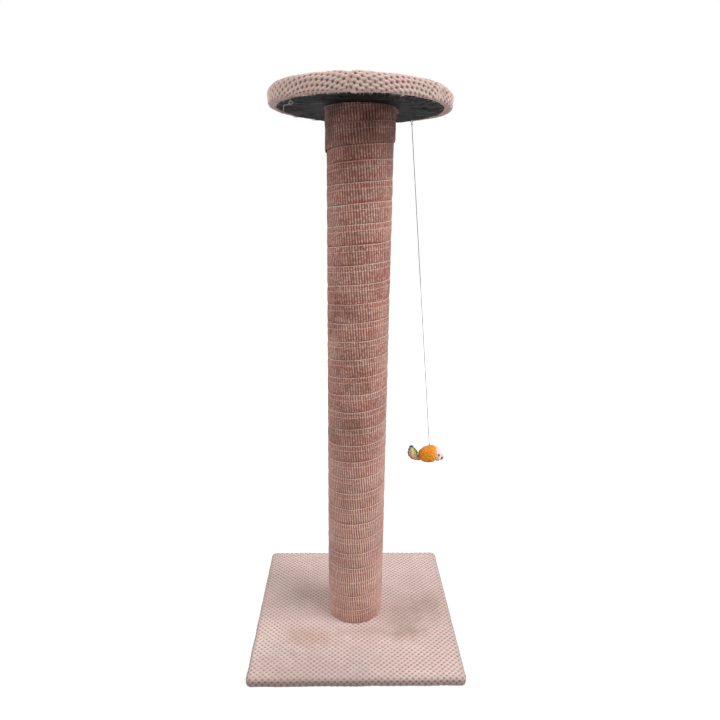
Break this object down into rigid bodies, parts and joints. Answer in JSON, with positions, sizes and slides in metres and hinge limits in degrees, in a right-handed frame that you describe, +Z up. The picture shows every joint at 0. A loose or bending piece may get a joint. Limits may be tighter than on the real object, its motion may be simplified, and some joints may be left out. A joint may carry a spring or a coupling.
{
  "type": "cat scratching post",
  "caption": "Tall tape-wound scratching post on a square plush-covered base, with a round padded platform on top and a small plush toy hanging from it on a string.",
  "frame": {"origin": "centre of the underside of the base", "axes": "+Z up the post, -Y towards the front, +X to the right, the side on which the toy hangs"},
  "size_m": [0.4, 0.4, 1.01],
  "materials": {
    "plush": "pale pink knitted plush with small raised dots",
    "tape": "woven red-brown and tan tape",
    "board": "raw fibreboard",
    "pine": "raw softwood",
    "cardboard": "spiral-wound cardboard",
    "felt": "pressed grey felt",
    "foam": "soft open-cell foam",
    "black_cloth": "thin black non-woven cloth",
    "staple_steel": "galvanised wire",
    "nail_steel": "bright wire",
    "zinc": "zinc plated",
    "string": "thin pale grey cord",
    "orange_plush": "orange plush",
    "pale_plush": "pale pink plush",
    "bead": "gloss black",
    "tail_cloth": "soft multi-coloured cloth"
  },
  "bodies": {
    "stand": {"base_board": "board", "base_bolt": "zinc", "base_cover": "plush", "base_liner": "felt", "base_staples": "staple_steel", "base_tee_nut": "zinc", "base_washer": "zinc", "bottom_plug": "pine", "bottom_plug_nails": "nail_steel", "platform_board": "board", "platform_cover": "plush", "platform_foam": "foam", "platform_liner": "black_cloth", "platform_staples": "staple_steel", "platform_stud": "zinc", "platform_tee_nut": "zinc", "post_top_tee_nut": "zinc", "post_tube": "cardboard", "post_winding": "tape", "spare_anchor_staple": "staple_steel", "spare_loop": "string", "spare_string": "string", "tape_staples": "staple_steel", "top_plug": "pine", "top_plug_nails": "nail_steel", "top_wrap": "tape", "toy_anchor_staple": "staple_steel"},
    "loop": {"string_loop": "string"},
    "string": {"string_knot": "string", "toy_string": "string"},
    "tie": {"toy_knot": "string"},
    "toy": {"toy_body": "orange_plush", "toy_head": "pale_plush", "toy_nose": "bead", "toy_eyes": "bead", "toy_tail": "tail_cloth"}
  },
  "joints": [
    {"name": "loop_swing", "type": "hinge", "parent": "stand", "child": "loop", "pos_m": [0.09361, 0.0873, 0.9793], "axis": [0, 1, 0], "range_deg": [-60, 30]},
    {"name": "string_swing", "type": "hinge", "parent": "loop", "child": "string", "pos_m": [0.09395, 0.0873, 0.97582], "axis": [0.9952, 0, 0.0976], "range_deg": [-60, 60]},
    {"name": "toy_twist", "type": "hinge", "parent": "string", "child": "tie", "pos_m": [0.15509, 0.0873, 0.35231], "axis": [-0.0976, 0, 0.9952], "continuous": true},
    {"name": "toy_tilt", "type": "hinge", "parent": "tie", "child": "toy", "pos_m": [0.15509, 0.0873, 0.35231], "axis": [0, 1, 0], "range_deg": [-40, 40]}
  ]
}
